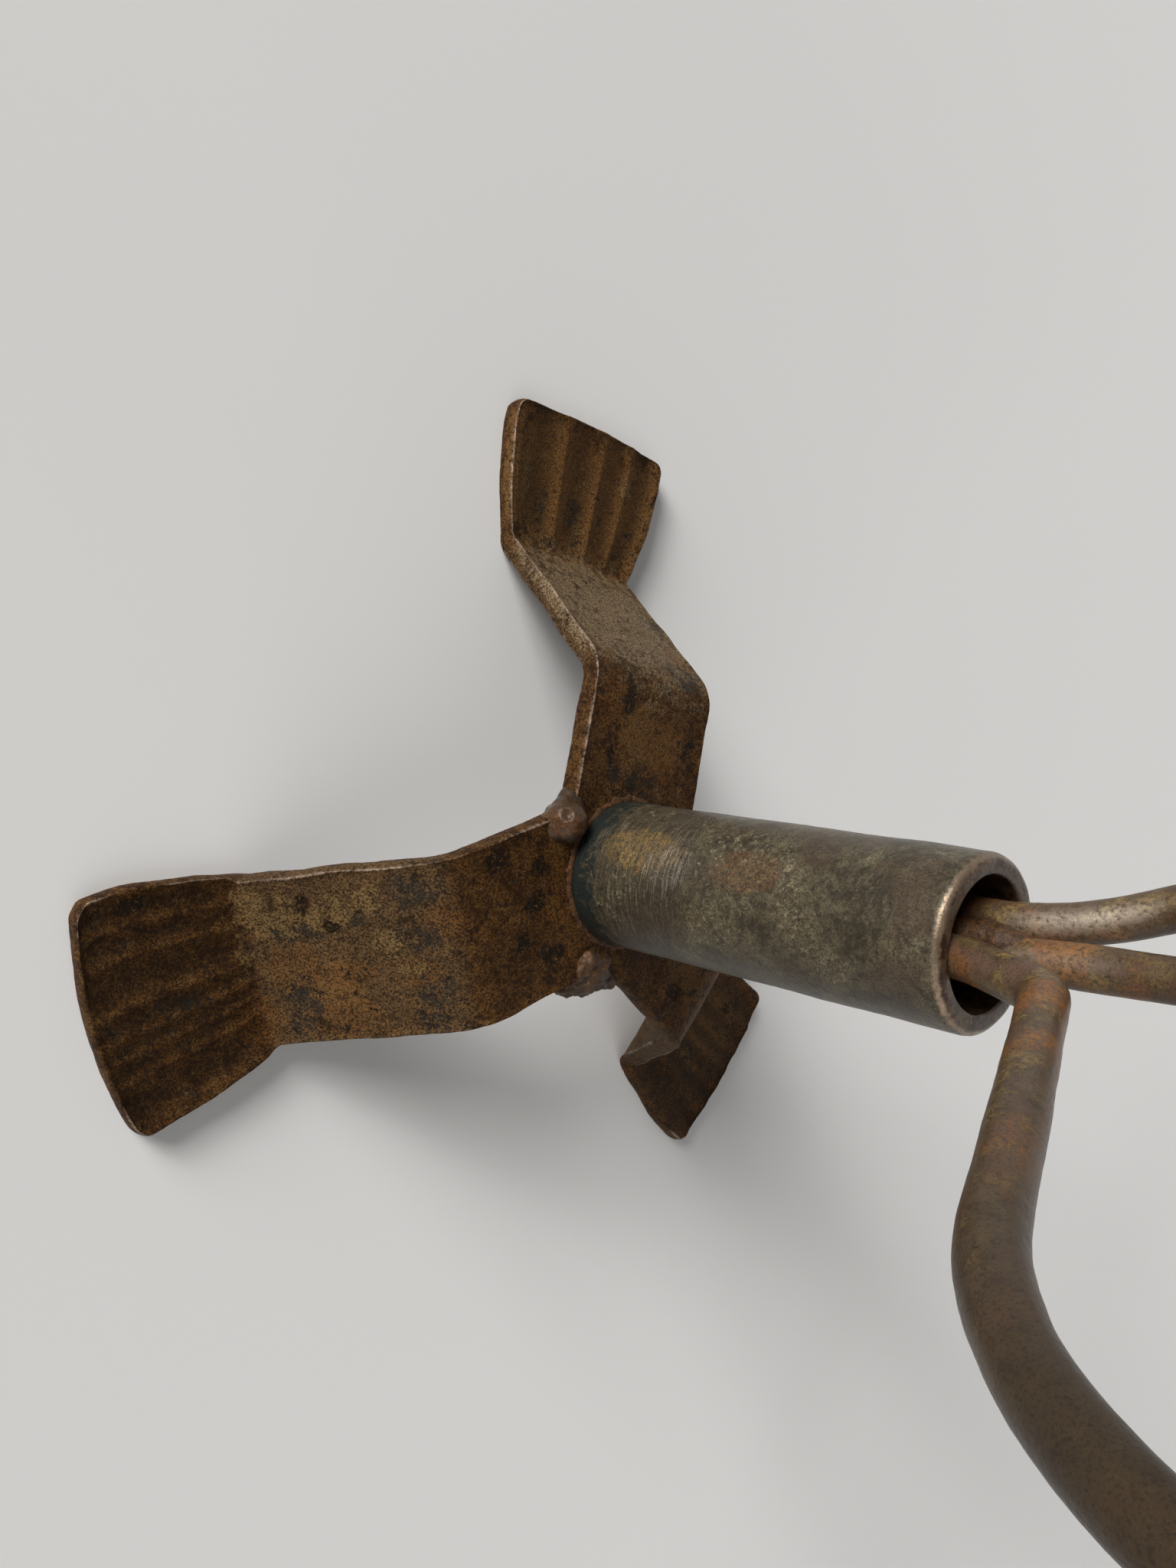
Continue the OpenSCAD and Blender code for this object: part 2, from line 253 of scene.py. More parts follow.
# Orange rust, which in the marks on the first foot also stands in for painted light.
orange_rust_and_painted_light = (0.140, 0.056, 0.014)
# The next colour is a painted sheen, laid on slopes where they catch the light.
painted_sheen_colour = (0.185, 0.130, 0.073)
# Warm rust, which on the first foot stands in for painted light.
warm_rust_and_painted_light = (0.165, 0.083, 0.028)
ochre = (0.165, 0.103, 0.040)
slate = (0.022, 0.020, 0.016)
# The next colour is rubbed metal on the arrises, which also stands in for a painted highlight where they face the
# light.
rubbed_iron_and_highlight = (0.270, 0.200, 0.150)
bright_rim = (0.215, 0.158, 0.108)


def rusted_iron(name):
    tree, place = start_finish(name)
    along = attribute(tree, "along")
    broad = cloud(tree, place, 13 * mm, detail=3)
    mottle = cloud(tree, place, 2.6 * mm, detail=8, roughness=0.7, distortion=0.3)
    ragged = cloud(tree, stretched(tree, place, (1, -1, 1)), 2 * mm, detail=7, roughness=0.65, distortion=0.3)
    fine = cloud(tree, place, 0.6 * mm, detail=5, roughness=0.75)
    grain = cloud(tree, place, 0.3 * mm, detail=3, roughness=0.75)
    speckle = threshold(tree, math_of(tree, "ADD", times(tree, fine, 0.6), times(tree, grain, 0.4)), 0.44, 0.56)
    tone = math_of(tree, "ADD", times(tree, mottle, 0.5), times(tree, fine, 0.5))
    colour = laid_over(tree, threshold(tree, tone, 0.42, 0.57), dark_rust, brown_rust)
    # Painted light: a lighter, speckled brown on the slopes of every leg.
    on_slope = times(tree, threshold(tree, along, 28 * mm, 31 * mm), threshold(tree, along, 60 * mm, 57 * mm))
    colour = laid_over(tree, times(tree, on_slope, between(tree, speckle, 0.25, 0.7)), colour, painted_slope_light)
    stray = threshold(tree, times(tree, ragged, broad), 0.29, 0.33)
    # The warm marks are warm rust, and on the first foot painted light.
    colour = laid_over(tree, times(tree, mark(tree, "warm_and_painted_light", ragged), 0.75), colour, warm_rust_and_painted_light)
    # Painted sheen: a pale, speckled colour on the slopes where the pale marks lie.
    painted_sheen = times(tree, mark(tree, "painted_sheen", ragged), between(tree, speckle, 0.45, 0.90))
    colour = laid_over(tree, painted_sheen, colour, painted_sheen_colour)
    # The orange marks are orange rust, and on the first foot partly painted light.
    orange = math_of(tree, "MAXIMUM", times(tree, stray, 0.5), mark(tree, "orange", ragged))
    colour = laid_over(tree, times(tree, orange, between(tree, speckle, 0.08, 0.50)), colour, orange_rust_and_painted_light)
    grey = times(tree, mark(tree, "slate", ragged), threshold(tree, tone, 0.58, 0.46))
    colour = laid_over(tree, times(tree, grey, 0.8), colour, slate)
    lichen = mark(tree, "ochre", mottle)
    ring = math_of(tree, "SUBTRACT", lichen, times(tree, threshold(tree, ragged, 0.50, 0.60), 0.55))
    ring = threshold(tree, times(tree, ring, between(tree, fine, 0.2, 1.8)), 0.15, 0.95)
    colour = laid_over(tree, times(tree, ring, between(tree, speckle, 0.25, 0.75)), colour, ochre)
    clusters = threshold(tree, cloud(tree, place, 7 * mm, detail=2), 0.52, 0.60)
    pits = threshold(tree, cloud(tree, place, 1.5 * mm, detail=5, roughness=0.65), 0.54, 0.60)
    pits = times(tree, times(tree, pits, clusters), 0.6)
    pits = math_of(tree, "MAXIMUM", pits, times(tree, mark(tree, "pitted", ragged), threshold(tree, fine, 0.62, 0.46)))
    # The bottoms of the flutes' grooves are darkened: partly dirt, partly painted shade that brings out the flutes.
    groove = math_of(tree, "POWER", attribute(tree, "hollow"), 2.0)
    pits_and_groove_shade = math_of(tree, "MAXIMUM", pits, times(tree, groove, 0.55))
    colour = laid_over(tree, pits_and_groove_shade, colour, scale_and_shade_black)
    colour = laid_over(tree, times(tree, threshold(tree, grain, 0.55, 0.38), 0.8), colour, scale_and_shade_black)
    sparks = times(tree, threshold(tree, grain, 0.57, 0.66), threshold(tree, mottle, 0.46, 0.60))
    colour = laid_over(tree, times(tree, sparks, 0.7), colour, ochre)
    # Rubbed arrises: duller metal on worn edges, which is partly a painted highlight, since the rubbed marks lie where
    # arrises face the light.
    wear_and_highlight = times(tree, attribute(tree, "wear_and_highlight"), between(tree, mottle, 0.1, 1.5))
    rubbed_and_highlit = threshold(tree, math_of(tree, "ADD", wear_and_highlight, times(tree, fine, 0.9)), 0.90, 1.50)
    colour = laid_over(tree, times(tree, rubbed_and_highlit, 0.85), colour, rubbed_iron_and_highlight)
    metallic = between(tree, rubbed_and_highlit, 0.0, 0.7)
    roughness = between(tree, math_of(tree, "ADD", fine, times(tree, rubbed_and_highlit, 0.5)), 0.70, 0.30)
    height = math_of(tree, "ADD", times(tree, fine, 0.8), times(tree, grain, 0.4))
    height = math_of(tree, "SUBTRACT", math_of(tree, "ADD", height, times(tree, ring, 0.3)), pits)
    end_finish(tree, colour, metallic, roughness, height, 0.17 * mm, 0.05)


rusted_iron("rusted_iron")

# %% [markdown]
# The stem was filed clean after welding and has darkened since: olive brown steel with lighter veins. The
# weld left straw gold above the hub, with a silvery filed spot beside it, and blue green at the very foot.
# Near the hub the file's fine marks run round the pipe.

# %% Patinated steel
steel_dark = (0.028, 0.021, 0.012)
steel_light = (0.092, 0.075, 0.042)
haze_brown = (0.066, 0.042, 0.025)
vein_light = (0.165, 0.138, 0.086)
fleck_light = (0.220, 0.180, 0.105)
heat_gold = (0.185, 0.112, 0.033)
heat_blue = (0.011, 0.018, 0.017)
filed_brown = (0.040, 0.030, 0.020)
filed_silver = (0.260, 0.230, 0.190)
foot_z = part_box("stem_pipe")[0].z
stem_radius = (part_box("stem_pipe")[1].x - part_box("stem_pipe")[0].x) / 2


def on_stem(bearing, height):
    angle = math.radians(bearing)
    return (stem_radius * math.cos(angle), stem_radius * math.sin(angle), foot_z + height)


def patinated_steel(name):
    tree, place = start_finish(name)
    mouth = attribute(tree, "mouth")
    broad = cloud(tree, place, 9 * mm, detail=4)
    mottle = cloud(tree, place, 1.8 * mm, detail=7, roughness=0.62, distortion=0.3)
    fine = cloud(tree, place, 0.7 * mm, detail=5, roughness=0.7)
    grain = cloud(tree, place, 0.26 * mm, detail=3, roughness=0.75)
    marks = cloud(tree, stretched(tree, place, (0.05, 0.05, 1)), 0.22 * mm, detail=3, roughness=0.7)
    height = node(tree, "SeparateXYZ", {"Vector": place}).outputs["Z"]
    filed = threshold(tree, math_of(tree, "ADD", height, times(tree, broad, 16 * mm)), foot_z + 33 * mm,
                      foot_z + 24 * mm)
    tone = math_of(tree, "ADD", times(tree, mottle, 0.4), times(tree, broad, 0.25))
    tone = math_of(tree, "ADD", tone, times(tree, fine, 0.35))
    colour = laid_over(tree, threshold(tree, tone, 0.41, 0.59), steel_dark, steel_light)
    haze = threshold(tree, cloud(tree, stretched(tree, place, (1, -1, 1)), 7 * mm, detail=5), 0.46, 0.62)
    colour = laid_over(tree, times(tree, haze, 0.55), colour, haze_brown)
    colour = laid_over(tree, times(tree, filed, 0.6), colour, filed_brown)
    streaks = times(tree, threshold(tree, marks, 0.54, 0.64), between(tree, filed, 0.08, 0.6))
    colour = laid_over(tree, streaks, colour, vein_light)
    wandering = cloud(tree, place, 2.6 * mm, detail=5, roughness=0.55, distortion=0.6)
    vein = times(tree, veins(tree, wandering, 0.03), threshold(tree, broad, 0.44, 0.58))
    vein = times(tree, vein, times(tree, threshold(tree, grain, 0.38, 0.60), between(tree, filed, 0.5, 0.1)))
    colour = laid_over(tree, vein, colour, vein_light)
    bloom = patch(tree, place, on_stem(150, 29 * mm), (5 * mm, 5 * mm, 8 * mm), mottle)
    flecks = math_of(tree, "MAXIMUM", bloom, threshold(tree, broad, 0.50, 0.62))
    flecks = times(tree, threshold(tree, fine, 0.55, 0.65), flecks)
    colour = laid_over(tree, times(tree, flecks, 0.8), colour, fleck_light)
    rusty = patch(tree, place, on_stem(161, 31 * mm), (3 * mm, 3 * mm, 6 * mm), mottle)
    rusty = times(tree, rusty, threshold(tree, grain, 0.44, 0.62))
    colour = laid_over(tree, times(tree, rusty, 0.6), colour, orange_rust_and_painted_light)
    gold = patch(tree, place, on_stem(159, 12 * mm), (3.6 * mm, 3.6 * mm, 8 * mm), mottle)
    gold = times(tree, gold, between(tree, threshold(tree, marks, 0.40, 0.60), 0.25, 0.9))
    colour = laid_over(tree, times(tree, gold, threshold(tree, fine, 0.30, 0.58)), colour, heat_gold)
    silver = patch(tree, place, on_stem(168, 18 * mm), (3 * mm, 3 * mm, 5 * mm), mottle)
    silver = times(tree, silver, threshold(tree, marks, 0.48, 0.60))
    colour = laid_over(tree, times(tree, silver, 0.7), colour, filed_silver)
    blue_top = foot_z + 11.7 * mm
    blue = threshold(tree, math_of(tree, "ADD", height, times(tree, mottle, 16 * mm)), blue_top + 2 * mm,
                     blue_top - 1 * mm)
    colour = laid_over(tree, times(tree, blue, 0.92), colour, heat_blue)
    colour = laid_over(tree, times(tree, threshold(tree, grain, 0.55, 0.38), 0.65), colour, scale_and_shade_black)
    soiled = laid_over(tree, threshold(tree, mottle, 0.44, 0.58), haze_brown, dark_rust)
    soiled = laid_over(tree, times(tree, threshold(tree, fine, 0.54, 0.64), 0.6), soiled, heat_gold)
    colour = laid_over(tree, mouth, colour, soiled)
    wear_and_highlight = math_of(tree, "ADD", attribute(tree, "wear_and_highlight"), times(tree, fine, 0.9))
    rubbed_and_highlit = threshold(tree, wear_and_highlight, 0.95, 1.45)
    colour = laid_over(tree, times(tree, rubbed_and_highlit, 0.9), colour, bright_rim)
    bright = math_of(tree, "MAXIMUM", rubbed_and_highlit, times(tree, silver, 0.6))
    metallic = between(tree, bright, 0.2, 0.95)
    roughness = between(tree, math_of(tree, "SUBTRACT", fine, times(tree, bright, 0.3)), 0.22, 0.50)
    height = math_of(tree, "ADD", times(tree, marks, between(tree, filed, 0.1, 0.7)), times(tree, fine, 0.7))
    end_finish(tree, colour, metallic, roughness, height, 0.11 * mm, 0.28)


patinated_steel("patinated_steel")

# %% [markdown]
# The arms are brown round bar with a handled shine. A painted highlight, a light streak on the side that
# faces the light, lies a little above the mouth. Near the stem's mouth, where they were heated and bent,
# they are tinted violet, gold and orange; further out they are painted darker, as painted shade. Weld metal
# is made the same way: darker, rougher, with a greyer crust, and rusty round the stem's foot. The meshes keep
# where a piece is heated, rusty or carries the painted highlight.

# %% Brown rod and weld metal
rod_dark = (0.026, 0.017, 0.009)
rod_brown = (0.088, 0.057, 0.029)
rod_violet = (0.090, 0.048, 0.033)
rod_gold = (0.220, 0.138, 0.045)
rod_orange = (0.220, 0.080, 0.018)
# The next colour is a painted highlight: a light streak on the side of an arm that faces the light.
rod_highlight = (0.480, 0.410, 0.320)
weld_dark = (0.018, 0.009, 0.005)
weld_brown = (0.082, 0.047, 0.026)
weld_grey = (0.030, 0.026, 0.014)
weld_gold = (0.110, 0.072, 0.032)
# How dark the painted shade on the arms gets towards their far ends.
painted_shade_of_far_end = 0.62


def handled_iron(name, dark, brown, tint, glow, depth, shiny, dull, specular):
    tree, place = start_finish(name)
    heated = between(tree, attribute(tree, "heated"), 0.15, 0.95)
    rusty = attribute(tree, "rusty")
    broad = cloud(tree, place, 8 * mm, detail=4)
    mottle = cloud(tree, place, 2.0 * mm, detail=7, roughness=0.6, distortion=0.4)
    fine = cloud(tree, place, 0.6 * mm, detail=5, roughness=0.7)
    grain = cloud(tree, place, 0.26 * mm, detail=3, roughness=0.75)
    other = cloud(tree, stretched(tree, place, (1, -1, 1)), 3.0 * mm, detail=6, roughness=0.6, distortion=0.3)
    colour = laid_over(tree, threshold(tree, mottle, 0.18, 0.72), dark, brown)
    colour = laid_over(tree, times(tree, threshold(tree, other, 0.46, 0.62), times(tree, heated, 0.8)), colour, tint)
    gilt = times(tree, threshold(tree, other, 0.54, 0.34), threshold(tree, fine, 0.36, 0.70))
    colour = laid_over(tree, times(tree, gilt, heated), colour, glow)
    orange = times(tree, threshold(tree, broad, 0.54, 0.36), threshold(tree, fine, 0.30, 0.68))
    upper = threshold(tree, math_of(tree, "ADD", attribute(tree, "upper"), times(tree, mottle, 0.5)), 0.85, 1.25)
    orange = math_of(tree, "MAXIMUM", orange, times(tree, upper, 0.45))
    colour = laid_over(tree, times(tree, orange, heated), colour, rod_orange)
    # Painted shade: the arms are painted darker the further they are from the mouth.
    painted_shade = between(tree, attribute(tree, "heated"), painted_shade_of_far_end, 0.0)
    colour = laid_over(tree, times(tree, painted_shade, between(tree, mottle, 0.6, 1.4)), colour, scale_and_shade_black)
    rust = laid_over(tree, times(tree, threshold(tree, fine, 0.38, 0.62), 0.6), dark_rust, orange_rust_and_painted_light)
    colour = laid_over(tree, rusty, colour, rust)
    colour = laid_over(tree, times(tree, threshold(tree, grain, 0.53, 0.34), 0.6), colour, scale_and_shade_black)
    # Painted highlight: a lighter, more metallic, smoother streak where the mesh keeps it, on the side that faces the
    # light.
    polish_and_highlight = times(tree, attribute(tree, "wear_and_highlight"), threshold(tree, fine, 0.30, 0.56))
    colour = laid_over(tree, times(tree, polish_and_highlight, 0.85), colour, rod_highlight)
    metallic = between(tree, polish_and_highlight, 0.1, 0.9)
    smoothed = math_of(tree, "SUBTRACT", between(tree, fine, shiny, dull), times(tree, polish_and_highlight, 0.12))
    roughness = math_of(tree, "ADD", smoothed, times(tree, rusty, 0.35))
    height = math_of(tree, "ADD", fine, times(tree, grain, 0.4))
    height = times(tree, height, between(tree, rusty, 0.4, 1.0))
    end_finish(tree, colour, metallic, roughness, height, depth, specular)


handled_iron("brown_rod", rod_dark, rod_brown, rod_violet, rod_gold, 0.12 * mm, 0.20, 0.56, 0.21)
handled_iron("weld_metal", weld_dark, weld_brown, weld_grey, weld_gold, 0.20 * mm, 0.12, 0.30, 0.18)
print("finishes:", sorted(finishes))

# %% [markdown]
# A leg starts as the smith starts: with a flat blank of 25 x 3 mm bar. It is a box of even quads, and every
# point keeps its distance along the bar and its share of the half width, so that later steps can find it
# again. The hub end is cut to a point, so that three legs meet in mitres. The far end is spread into the
# fishtail, whose sides bulge a little, as metal does under the hammer. The sizes are the model's own.

# %% The blank of a leg
bar_width = 25 * mm
bar_thickness = 3 * mm
arris_radius = 1.0 * mm
hub_height = foot_z
crest = 29 * mm
heel = 47.9 * mm
crest_radius = 5.5 * mm
heel_radius = 3.2 * mm
leg_bearings = [math.radians(bearing) for bearing in (90, 206, 330)]
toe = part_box("leg_1")[1].y
toe_half = 16.7 * mm
toe_fullness = 2.2
toe_sweeps = [0.7 * mm, 2.2 * mm, 1.4 * mm]
toe_corner = 2.2 * mm
edge_wander = 0.35 * mm
wander_size = 8 * mm
slope = math.atan((hub_height - bar_thickness) / (heel - crest))
crest_reach = crest_radius * math.tan(slope / 2)
heel_reach = heel_radius * math.tan(slope / 2)
slope_length = math.hypot(heel - crest, hub_height - bar_thickness) - crest_reach - heel_reach
crest_start = crest - crest_reach
heel_start = crest_start + crest_radius * slope + slope_length
foot_start = heel_start + heel_radius * slope
blank_length = foot_start + toe - heel - heel_reach
neck = heel_start
cell = 0.5 * mm


def half_width(along, side, leg):
    """Half the bar's width on one side, with the waver that a hammered edge has."""
    spread = max(0, along - neck) / (blank_length - neck)
    flare = (toe_half - bar_width / 2) * (1 - (1 - min(1, spread)) ** toe_fullness)
    waver = noise.noise(Vector((along / wander_size, side * 3, leg * 5)))
    settled = min(1, max(0, (along - crest_start / 2) / crest_start))
    return bar_width / 2 + flare + edge_wander * waver * settled


def round_corner(from_toe, from_side):
    """Turns the square at a toe corner into a quarter disc. Gives the new place, and the way out to the edge."""
    x = max(0, 1 - from_toe / toe_corner)
    y = max(0, 1 - from_side / toe_corner)
    if x == 0 or y == 0:
        gap, out = min((from_side, Vector((0, 1, 0))), (from_toe, Vector((1, 0, 0))), key=lambda pair: pair[0])
        return from_toe, from_side, gap, out
    out = Vector((x * math.sqrt(1 - y * y / 2), y * math.sqrt(1 - x * x / 2), 0))
    gap = toe_corner * (1 - out.length)
    return toe_corner * (1 - out.x), toe_corner * (1 - out.y), gap, out.normalized()


def place_on_blank(along_share, across_share, height, leg, mitres):
    """A point's place on the flat blank with its arrises rounded, and how near an arris it is."""
    side = math.copysign(1, across_share)
    along = along_share * blank_length
    half = half_width(along, side, leg)
    from_toe, from_side, gap, out = round_corner(blank_length - along, half * (1 - abs(across_share)))
    along = blank_length - from_toe
    across = side * (half - from_side)
    if along < crest_start:
        point = abs(across) / math.tan(mitres[0] if across > 0 else mitres[1])
        along = point + along / crest_start * (crest_start - point)
    spread = max(0, along - neck) / (blank_length - neck)
    sweep = toe_sweeps[leg] * spread ** 2 * across_share ** 2
    place = Vector((along - sweep, across, height))
    x = 1 - gap / arris_radius
    z = 1 - (bar_thickness / 2 - abs(height)) / arris_radius
    if min(x, z) <= 0:
        return place, 0.0
    outwards = Vector((out.x, out.y * side, 0))
    rounding = 1 / math.hypot(x, z) - 1
    place += outwards * arris_radius * x * rounding
    place.z += math.copysign(arris_radius * z * rounding, height)
    return place, min(x, z)


print("the blank is", round(blank_length / mm, 1), "mm long, and the slope is", round(math.degrees(slope)), "degrees")

# %% [markdown]
# The marks of rust and of painted light were read off the photograph as places on the flat blank: millimetres
# along the bar from the stem's axis, millimetres across it, and the reach of the mark both ways. The third leg
# stands behind the stem there, so its marks are only like the others. The mesh keeps them as attributes.

# %% Marks of rust on the legs
least_wear = 0.3
# The pale marks on the slopes are a painted sheen. The warm marks and the larger orange marks on the first foot are
# partly painted light, and the rubbed marks give the arrises a painted highlight along with their wear.
marks_of_legs = [
    {
        "orange": [(19, -3, 5, 4), (24, 9, 4, 3), (36, -9, 3, 1.5), (66, -2, 5, 7), (71, 5.5, 6, 5), (73, -7, 7, 6),
                   (78, 2, 4, 14)],
        "warm_and_painted_light": [(71, 0, 13, 20), (20, 0, 5, 6)],
        "painted_sheen": [(44, 0, 15, 15)],
        "slate": [(13, 2, 3.5, 5), (45, -11, 4, 1.5), (68, 1.5, 2.5, 2), (67, 8, 2.5, 1.5), (31, -8, 2.5, 4)],
        "ochre": [(61, -9.5, 1.2, 1.3), (61, 9.5, 1.2, 1.5), (75, -9, 3, 1.2), (71, 12, 4, 1.2), (66, 0, 2.5, 1)],
        "pitted": [(25, 5, 2, 1.2), (20, -9, 1.5, 1), (17, 7, 1.2, 0.8)],
        "rubbed_and_highlit": [(45, 12, 50, 4), (72, 16, 18, 4), (80, -15, 4, 4), (70, -15, 8, 2)],
    },
    {
        "orange": [(31, -3.5, 3, 3), (35, 3.5, 3, 2), (45, 2.5, 4, 2), (51, 0.5, 2, 4), (55, 1.5, 1.5, 3.5),
                   (47, 9, 5, 3), (61, 8, 6, 3), (13, 0, 2.2, 9)],
        "slate": [(34, -8.5, 3.5, 2.2), (34, -2, 3, 2), (41, -5, 2.5, 1.2), (51.5, -4, 4, 1.5), (33.5, 8, 3, 4),
                  (53, 7, 3, 4), (71, 1, 3, 1.5)],
        "ochre": [(40.5, -8, 2.5, 2), (44.5, -7, 2.2, 2.8), (48, -6, 1.8, 2), (53.5, -6.5, 3.5, 3),
                  (58, -8, 3.5, 3), (38.5, -1.5, 2.5, 1.8), (60.8, -1.8, 1, 3.5), (36, 2.8, 2.5, 0.8)],
        "pitted": [(15.5, -6.5, 1.6, 1.5), (16.8, -1.8, 2.2, 1.1), (20.5, 3, 1.4, 1), (15.5, 7, 2, 1.2),
                   (22.5, -9.5, 2, 1.5), (46, -4.6, 1.4, 0.7), (50, -8.3, 1.3, 1.2), (75, -14, 2, 1)],
        "warm_and_painted_light": [(47, 4, 3, 4)],
        "painted_sheen": [],
        "rubbed_and_highlit": [(45, -12, 18, 4), (80, -15, 4, 4), (80, 14, 4, 4), (66, -14, 6, 2), (16, -12, 6, 3)],
    },
    {
        "orange": [(20, 4, 4, 3), (38, 5, 4, 3), (47, -5, 4, 3), (66, 6, 4, 3), (13, 0, 2.2, 9)],
        "slate": [(35, -6, 3, 3), (50, -2, 3, 2), (55, 9, 3, 2), (70, -3, 3, 2)],
        "ochre": [(42, 8, 3, 2), (52, 7, 3.5, 2.5), (58, -9, 2, 2), (45, 1, 2, 2)],
        "pitted": [(17, 5, 2, 1.3), (22, -7, 1.5, 1.2), (30, 8, 1.5, 1), (74, 9, 1.5, 1)],
        "warm_and_painted_light": [(70, 4, 9, 8), (22, 0, 7, 7)],
        "painted_sheen": [(48, 2, 9, 9)],
        "rubbed_and_highlit": [(45, 12, 22, 4), (45, -12, 14, 4), (80, -15, 5, 5), (80, 15, 5, 5)],
    },
]


def inside_mark(marks, place):
    """How deep inside a mark a place on the flat blank is: 1 well inside, 0.5 on the border, 0 outside."""
    depths = [0.0]
    for along, across, reach_along, reach_across in marks:
        off = math.hypot((place.x / mm - along) / reach_along, (place.y / mm - across) / reach_across)
        depths.append(min(1.0, 1.5 - off))
    return max(depths)


def between_shares(low, high, share):
    return low + (high - low) * share


print("marks on each leg:", [sum(len(marks) for marks in of_leg.values()) for of_leg in marks_of_legs])

# %% Making the blank
def make_blank(leg, mitres):
    bm = bmesh.new()
    bmesh.ops.create_grid(bm, x_segments=round(blank_length / cell), y_segments=round(bar_width / cell), size=1)
    names = ("along", "across", "height", "wear_and_highlight", *marks_of_legs[leg])
    layers = {name: bm.verts.layers.float.new(name) for name in names}
    for vertex in bm.verts:
        vertex[layers["along"]] = (vertex.co.x + 1) / 2
        vertex[layers["across"]] = vertex.co.y
    under = bmesh.ops.extrude_face_region(bm, geom=bm.faces[:])
    under = [item for item in under["geom"] if isinstance(item, bmesh.types.BMVert)]
    bmesh.ops.translate(bm, verts=under, vec=(0, 0, -2))
    sides = [edge for edge in bm.edges if abs(edge.verts[0].co.z - edge.verts[1].co.z) > 1]
    bmesh.ops.subdivide_edges(bm, edges=sides, cuts=round(bar_thickness / cell) - 1, use_grid_fill=True)
    crease = bm.edges.layers.float.new("crease_edge")
    for edge in bm.edges:
        if all(vertex[layers["along"]] < merge_gap for vertex in edge.verts):
            edge[crease] = 1.0
    for vertex in bm.verts:
        height = vertex.co.z + 1
        share = vertex[layers["along"]]
        vertex.co, vertex[layers["wear_and_highlight"]] = place_on_blank(
            share, vertex[layers["across"]], height * bar_thickness / 2, leg, mitres)
        vertex[layers["along"]] = share * blank_length
        vertex[layers["height"]] = height
        for kind, marks in marks_of_legs[leg].items():
            vertex[layers[kind]] = inside_mark(marks, vertex.co) if height > 0 or kind == "rubbed_and_highlit" else 0.0
        # The rubbed marks set the arris wear and, with it, a painted highlight.
        vertex[layers["wear_and_highlight"]] *= between_shares(least_wear, 1, vertex[layers["rubbed_and_highlit"]])
    return bm


# %% [markdown]
# Bending is done with bmesh's own rotate. A bend is a row of small bend lines, and each line turns all that
# lies beyond it by a few degrees. Working from the toe inwards, the metal at the next line is always still
# flat, so each line's place is simply its place on the flat blank. The heel is bent sharper than the crest.

# %% Bending
bend_steps = 10


def bend(bm, flat, start, radius, angle):
    """Bends all that lies beyond start, measured along the flat blank. A positive angle bends down."""
    length = radius * abs(angle)
    for step in reversed(range(bend_steps)):
        line = start + length * (step + 0.5) / bend_steps
        beyond = [vertex for vertex in bm.verts if flat[vertex] > line]
        turn = Matrix.Rotation(angle / bend_steps, 3, "Y")
        bmesh.ops.rotate(bm, cent=(line, 0, 0), matrix=turn, verts=beyond)


# %% [markdown]
# The flutes were hammered into each foot by eye, so no two feet are alike. The ridges between them stand at
# the shares of the half width listed here, as read from the photograph for the first two feet. A groove has
# a round bottom and starts shallow at the heel. Since it keeps its share of the width, it fans out.

# %% Flutes
ridges_of_legs = [
    (-0.93, -0.54, -0.17, 0.33, 0.90),
    (-0.95, -0.70, -0.46, -0.06, 0.16, 0.33, 0.51, 0.93),
    (-0.92, -0.50, -0.22, 0.02, 0.24, 0.55, 0.93),
]
flute_share = 0.085
flute_runout = 6 * mm
toe_fade = 3 * mm
ridge_waver = 0.02


def flute(along, share, half, ridges):
    """The depth of the fluting, and how far into a groove the point lies, from 0 on a ridge to 1."""
    share += ridge_waver * noise.noise(Vector((along / wander_size, ridges[0] * 9, 0)))
    for low, high in zip(ridges, ridges[1:]):
        if low <= share < high and along > heel_start:
            inside = (share - low) / (high - low)
            hollow = 4 * inside * (1 - inside)
            start = min(1, (along - heel_start) / flute_runout)
            end = min(1, 0.5 + (blank_length - along) / toe_fade / 2)
            return flute_share * (high - low) * half * hollow * start ** 0.5 * end, hollow * start
    return 0.0, 0.0


def press_flutes(piece, ridges):
    mesh = piece.data
    mesh.attributes.new("hollow", "FLOAT", "POINT")
    along, share, height, hollow = (mesh.attributes[name].data for name in ("along", "across", "height", "hollow"))
    for vertex in mesh.vertices:
        level = max(0, height[vertex.index].value)
        depth, inside = flute(along[vertex.index].value, share[vertex.index].value, toe_half, ridges)
        vertex.co.z -= depth * level ** 2
        hollow[vertex.index].value = inside * level
    mesh.update()


# %% [markdown]
# Each leg is turned to its bearing round the stem, and its mitres are half the angles to its neighbours.
# Hammer marks and pits are put in last, once the surface is fine enough to hold them.

# %% Legs
hammer_size = 7 * mm
hammer_depth = 0.26 * mm
ripple_size = 2.6 * mm
ripple_depth = 0.07 * mm
pit_size = 0.9 * mm
pit_depth = 0.04 * mm
sole_gap = 0.02 * mm


def mitre_between(leg, other):
    gap = (leg_bearings[other] - leg_bearings[leg]) % (2 * math.pi)
    return min(gap, 2 * math.pi - gap) / 2


